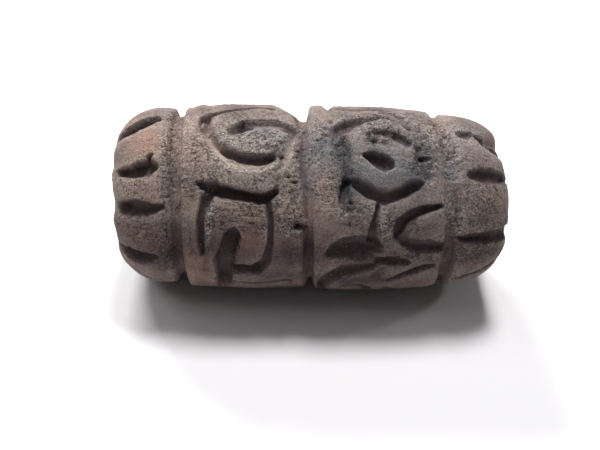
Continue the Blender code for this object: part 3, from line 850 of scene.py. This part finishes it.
def make_seal():
    """The whole seal: grid, depths, worn surface, points and faces, and the shares its colours follow."""
    grid = seal_grid()
    hand = freehand(grid)
    crumbled = patches(grid, CRUMBLED, 0.6 * rough_ground(grid, *CRUMBLED_EDGES))
    strokes, inside = [values * grid.outside for values in carve_strokes(hand)]
    hollows, round_curl = [values * grid.outside for values in wear_hollows(hand)]
    cut, valley = round_rings(hand)
    worn = valley * grid.outside + hollows
    carved = np.maximum(strokes, np.maximum(cut, broken_rim(hand)) * grid.outside)
    pits = press_pits(grid, crumbled) * grid.outside
    cracked = patches(grid, CRACKED, 0.5 * rough_ground(grid, *CRACKED_EDGES))
    height = worn_surface(grid, crumbled, carved) - np.maximum(carved, worn)
    height -= SHARED_DEPTH * np.minimum(carved, worn)
    height -= pits
    rows, columns = grid.x.shape
    points = place_surface(grid, height).reshape(-1, 3)
    mesh = mesh_from_grid("seal_body", points, ring_quads(rows, columns))

    # Lifted says how far a place stands above its wider surroundings
    store(mesh, "groove", inside)
    store(mesh, "smooth", np.maximum(inside, smooth_rise(0.35, 0.75, round_curl)))
    store(mesh, "lifted", np.clip(0.5 + (blurred(height, 2) - blurred(height, 20)), 0, 1))
    store(mesh, "pitted", smooth_rise(0.15, 0.6, pits))
    store(mesh, "cracked", cracked * (1 - smooth_rise(0.3, 0.9, carved)))
    store(mesh, "crumbled", crumbled)
    wander = 0.7 * rough_ground(grid, *COLOUR_EDGES)
    for name, blobs in COLOUR_PATCHES.items():
        store(mesh, name, patches(grid, blobs, wander) * grid.outside)
    return add_object("seal_body", mesh)


class Graph:
    """Short ways to add nodes to a material: each returns an output, and a socket takes one or a value."""

    def __init__(self, name):
        self.material = bpy.data.materials.new(name)
        self.material.use_nodes = True
        self.tree = self.material.node_tree
        self.shader = self.tree.nodes["Principled BSDF"]

    def node(self, kind, settings, sockets, output=0):
        made = self.tree.nodes.new(kind)
        for name, value in settings.items():
            setattr(made, name, value)
        for name, value in sockets.items():
            self.plug(value, made.inputs[name])
        return made.outputs[output]

    def plug(self, value, socket):
        if isinstance(value, bpy.types.NodeSocket):
            self.tree.links.new(value, socket)
        else:
            socket.default_value = value

    def attribute(self, name):
        return self.node("ShaderNodeAttribute", {"attribute_name": name}, {}, "Fac")

    def noise(self, place, scale, detail, roughness):
        sockets = {"Vector": place, "Scale": scale, "Detail": detail, "Roughness": roughness}
        return self.node("ShaderNodeTexNoise", {}, sockets, "Fac")

    def specks(self, place, scale):
        return self.node("ShaderNodeTexVoronoi", {}, {"Vector": place, "Scale": scale}, "Distance")

    def math(self, operation, first, second=0.0):
        return self.node("ShaderNodeMath", {"operation": operation}, {0: first, 1: second})

    def chain(self, operation, first, *others):
        for other in others:
            first = self.math(operation, first, other)
        return first

    def times(self, *values):
        return self.chain("MULTIPLY", *values)

    def plus(self, *values):
        return self.chain("ADD", *values)

    def less(self, *values):
        return self.chain("SUBTRACT", *values)

    def most(self, *values):
        return self.chain("MAXIMUM", *values)

    def spread(self, value, from_low, from_high, to_low=0.0, to_high=1.0):
        ends = {"From Min": from_low, "From Max": from_high, "To Min": to_low, "To Max": to_high}
        return self.node("ShaderNodeMapRange", {"clamp": True}, {"Value": value, **ends})

    def mix(self, amount, first, second, blend="MIX"):
        settings = {"data_type": "RGBA", "blend_type": blend}
        sockets = {"Factor": amount, MIX_FIRST: first, MIX_SECOND: second}
        return self.node("ShaderNodeMix", settings, sockets, MIX_RESULT)

    def stretched(self, place, scale):
        return self.node("ShaderNodeMapping", {}, {"Vector": place, "Scale": scale})

    def shifted(self, place, step):
        return self.node("ShaderNodeMapping", {}, {"Vector": place, "Location": step})


def clay_ground(clay):
    """What the clay's colours and relief share: places in millimetres, noises from coarse to fine, how
    rough and patchy the clay is, and how far it lies out of the painted shade."""
    place = clay.node("ShaderNodeTexCoord", {}, {}, "Object")
    place = clay.stretched(place, (1 / MM, 1 / MM, 1 / MM))
    blotch = clay.noise(place, 0.85, 4.0, 0.65)
    rough = clay.spread(clay.most(clay.attribute("crust"), clay.attribute("crumbled")), 0.0, 0.9, 0.22, 1.0)
    rough = clay.times(rough, clay.spread(clay.attribute("smooth"), 0.0, 1.0, 1.0, 0.25))
    return SimpleNamespace(
        place=place,
        lengthways=clay.stretched(place, (0.3, 1.0, 1.0)),
        blotch=blotch,
        crumbs=clay.noise(place, 1.25, 6.0, 0.72),
        nubs=clay.specks(place, 2.6),
        grain=clay.noise(place, 2.9, 5.0, 0.75),
        sand=clay.noise(place, 5.5, 2.0, 0.6),
        rough=rough,
        patchy=clay.times(clay.spread(blotch, 0.44, 0.56), clay.spread(rough, 0.3, 0.9)),
        unshaded=clay.spread(clay.attribute("painted_shade"), 0.0, 1.0, 1.0, 0.25),
    )


def stain(clay, colour, name, tint, noise, *ends):
    """The colour with a tint over it where a patch lies, the stronger the higher a noise is there."""
    return clay.mix(clay.times(clay.attribute(name), clay.spread(noise, *ends)), colour, tint)


def tinted_clay(clay, ground):
    """Mottled brown clay, with painted light in lighter patches, painted shade in purple patches, red in
    patches, and buff on crust and raised grit.
    """
    mottle = clay.noise(ground.place, 0.3, 5.0, 0.6)
    colour = clay.mix(clay.spread(mottle, 0.38, 0.62), CLAY_DARK, CLAY_BROWN)
    # Painted light: lighter clay in the sunlit patches
    colour = clay.mix(clay.times(clay.attribute("sunlit"), 0.9), colour, PAINTED_LIGHT_CLAY)
    # Painted shade: dark purple, most of it on the lower side
    colour = stain(clay, colour, "painted_shade", PAINTED_SHADE_PLUM, ground.blotch, 0.35, 0.6, 0.75, 1.0)
    colour = stain(clay, colour, "blush", CLAY_RED, ground.blotch, 0.35, 0.6, 0.4, 0.95)
    # Buff on raised grit and crust is weaker where the painted shade lies
    raised = clay.times(clay.spread(clay.attribute("lifted"), 0.44, 0.62), ground.unshaded)
    crust = clay.times(clay.attribute("crust"), clay.spread(ground.grain, 0.46, 0.6))
    crust = clay.times(crust, clay.spread(raised, 0.0, 1.0, 0.45, 1.0), ground.unshaded, 0.7)
    colour = clay.mix(crust, colour, CLAY_BUFF)
    worn = clay.times(raised, clay.spread(ground.grain, 0.42, 0.58, 0.05, 0.35))
    return clay.mix(worn, colour, CLAY_BUFF)


def stained_clay(clay, ground, colour):
    """The colour with ash over it, grooves darkened with dirt and painted shade, darker still where the
    painted shade lies, chalk and soot.
    """
    colour = stain(clay, colour, "ash", ASH_GREY, ground.crumbs, 0.4, 0.6, 0.5, 0.9)
    groove = clay.attribute("groove")
    # Inside the grooves: dark dirt and painted shade
    colour = clay.mix(clay.times(groove, 0.85), colour, GROOVE_DIRT_AND_SHADE)
    # Painted shade: grooves go near black where the lower side's painted shade lies
    colour = clay.mix(clay.times(groove, clay.attribute("painted_shade"), 0.55), colour, PIT_BLACK)
    colour = stain(clay, colour, "chalk", GRIT_WHITE, ground.grain, 0.46, 0.56, 0.0, 0.8)
    return stain(clay, colour, "soot", SOOT_GREY, ground.crumbs, 0.4, 0.6, 0.4, 1.0)


def dark_marks(clay, ground):
    """How far a place is a small hole, a crack, part of a pit or a pock, from 0 to 1, the mesh's pits and
    craters darkened as painted shade.
    """
    hole = clay.spread(ground.crumbs, 0.36, 0.42, 1.0, 0.0)
    hole = clay.times(hole, clay.spread(ground.grain, 0.4, 0.55))
    hole = clay.most(hole, clay.spread(ground.grain, 0.37, 0.42, 1.0, 0.0))
    hole = clay.times(hole, clay.spread(ground.rough, 0.3, 0.9, 0.1, 1.0))
    # A crack runs where a noise crosses its middle value
    off_line = clay.math("ABSOLUTE", clay.less(clay.noise(ground.lengthways, 1.3, 3.0, 0.65), 0.5))
    crack = clay.spread(off_line, 0.010, 0.030, 1.0, 0.0)
    crack = clay.times(crack, clay.spread(ground.blotch, 0.38, 0.48))
    crack = clay.times(crack, clay.spread(clay.attribute("cracked"), 0.1, 0.5))
    # Painted shade: the mesh's pits and craters are darkened
    pitted = clay.times(clay.attribute("pitted"), clay.spread(ground.grain, 0.35, 0.6, 0.9, 0.4))
    pocks = clay.specks(clay.shifted(ground.place, (5.3, 2.1, 7.7)), 0.75)
    pocks = clay.spread(pocks, 0.12, 0.2, 1.0, 0.0)
    pocks = clay.times(pocks, clay.spread(ground.grain, 0.45, 0.55))
    pocks = clay.times(pocks, clay.spread(ground.rough, 0.3, 0.7, 0.3, 1.0))
    return clay.most(hole, crack, pitted, pocks)


def speckled_clay(clay, ground, colour):
    """The colour with dark gaps between crumbs, buff knobs on them, and single grains of white grit."""
    gap = clay.times(clay.spread(ground.nubs, 0.34, 0.56), ground.patchy, 0.45)
    colour = clay.mix(gap, colour, CRUMB_GAP)
    knob = clay.times(clay.spread(ground.nubs, 0.14, 0.32, 1.0, 0.0), ground.patchy)
    knob = clay.times(knob, clay.spread(ground.grain, 0.42, 0.56), ground.unshaded, 0.55)
    colour = clay.mix(knob, colour, CLAY_BUFF)
    grit = clay.spread(clay.specks(ground.place, 1.1), 0.04, 0.12, 0.75, 0.0)
    return clay.mix(clay.times(grit, clay.spread(ground.sand, 0.45, 0.6)), colour, GRIT_WHITE)


def shaded_clay(clay, ground, colour):
    """The colour made darker and lighter from crumb to crumb, most of all where the clay is rough."""
    uneven = clay.spread(ground.rough, 0.3, 1.0, 0.8, 2.4)
    uneven = clay.times(uneven, clay.spread(ground.blotch, 0.4, 0.6, 0.45, 1.45))
    shade = clay.less(clay.plus(clay.times(ground.crumbs, 0.5), ground.grain), 0.75)
    shade = clay.plus(clay.times(shade, uneven), clay.spread(ground.sand, 0.3, 0.7, 0.65, 1.35))
    shades = clay.node("ShaderNodeCombineColor", {}, {"Red": shade, "Green": shade, "Blue": shade})
    return clay.mix(1.0, colour, shades, "MULTIPLY")


def fine_relief(clay, ground, dark):
    """Height of crumbs and grain where the clay is rough, of sand and of hand smoothing along X, less
    the dark marks and the gaps between crumbs."""
    relief = clay.times(clay.plus(ground.crumbs, clay.times(ground.grain, 0.5)), ground.rough, 1.6)
    relief = clay.plus(relief, clay.times(clay.plus(ground.grain, ground.sand), 0.25))
    relief = clay.plus(relief, clay.times(clay.noise(ground.lengthways, 2.4, 3.0, 0.6), 0.4))
    return clay.less(relief, clay.times(dark, 0.7), clay.times(ground.nubs, ground.patchy))


def fired_clay():
    """Fired clay: mottled brown, reddened, ashen and sooted in patches, with painted light and painted
    shade in patches, grooves and pits, and pale crust on raised grit.
    """
    clay = Graph("fired_clay")
    ground = clay_ground(clay)
    dark = dark_marks(clay, ground)
    colour = stained_clay(clay, ground, tinted_clay(clay, ground))
    colour = clay.mix(clay.times(dark, 0.75), colour, PIT_BLACK)
    colour = shaded_clay(clay, ground, speckled_clay(clay, ground, colour))
    relief = fine_relief(clay, ground, dark)
    sockets = {"Strength": 1.0, "Distance": RELIEF_DEPTH * MM, "Height": relief}
    bump = clay.node("ShaderNodeBump", {}, sockets, "Normal")
    clay.plug(colour, clay.shader.inputs["Base Color"])
    clay.plug(bump, clay.shader.inputs["Normal"])
    clay.plug(clay.spread(ground.grain, 0.3, 0.7, 0.8, 0.97), clay.shader.inputs["Roughness"])
    clay.shader.inputs["Specular IOR Level"].default_value = 0.25
    return clay.material


def make_floor():
    """A plain pale sheet under the seal, larger than the view."""
    mesh = bpy.data.meshes.new("floor")
    side = FLOOR_SIDE / 2
    corners = [(-side, -side, 0), (side, -side, 0), (side, side, 0), (-side, side, 0)]
    mesh.from_pydata(corners, [], [(0, 1, 2, 3)])
    paper = Graph("white_paper")
    paper.shader.inputs["Base Color"].default_value = (*FLOOR_COLOUR, 1)
    paper.shader.inputs["Roughness"].default_value = 0.9
    mesh.materials.append(paper.material)
    add_object("floor", mesh)


def add_lamp(name, lamp):
    """An area lamp that faces the seal. Its watts give its share of the light that falls on the floor."""
    left, back, distance, width, depth, share = lamp
    towards = Vector((-left, back, 1)).normalized()
    data = bpy.data.lights.new(name, "AREA")
    data.shape = "RECTANGLE"
    data.size = width * MM
    data.size_y = depth * MM
    data.energy = share * FLOOR_LIGHT * (distance * MM) ** 2 / towards.z
    light = add_object(name, data)
    light.location = towards * distance * MM
    light.rotation_euler = towards.to_track_quat("Z", "Y").to_euler()


def light_studio():
    """Plain soft light from four lamps, most of it from overhead, and a weak pale sky."""
    for name, lamp in LAMPS.items():
        add_lamp(name, lamp)
    world = bpy.data.worlds.new("pale_sky")
    world.use_nodes = True
    sky = world.node_tree.nodes["Background"]
    sky.inputs["Color"].default_value = (*SKY_COLOUR, 1)
    sky.inputs["Strength"].default_value = SKY_STRENGTH
    bpy.context.scene.world = world
    bpy.context.scene.view_settings.view_transform = "Standard"


def place_camera():
    """The camera at the photograph's viewing angle."""
    data = bpy.data.cameras.new("camera")
    data.lens = CAMERA_LENS
    data.sensor_width = CAMERA_SENSOR
    data.clip_start = 0.01
    camera = add_object("camera", data)
    camera.location = Vector(CAMERA_PLACE) * MM
    camera.rotation_euler = Euler([math.radians(turn) for turn in CAMERA_TURN])
    bpy.context.scene.camera = camera


seal = make_seal()
seal.data.materials.append(fired_clay())
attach(seal, "root")
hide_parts("cylinder_seal")

make_floor()
light_studio()
place_camera()
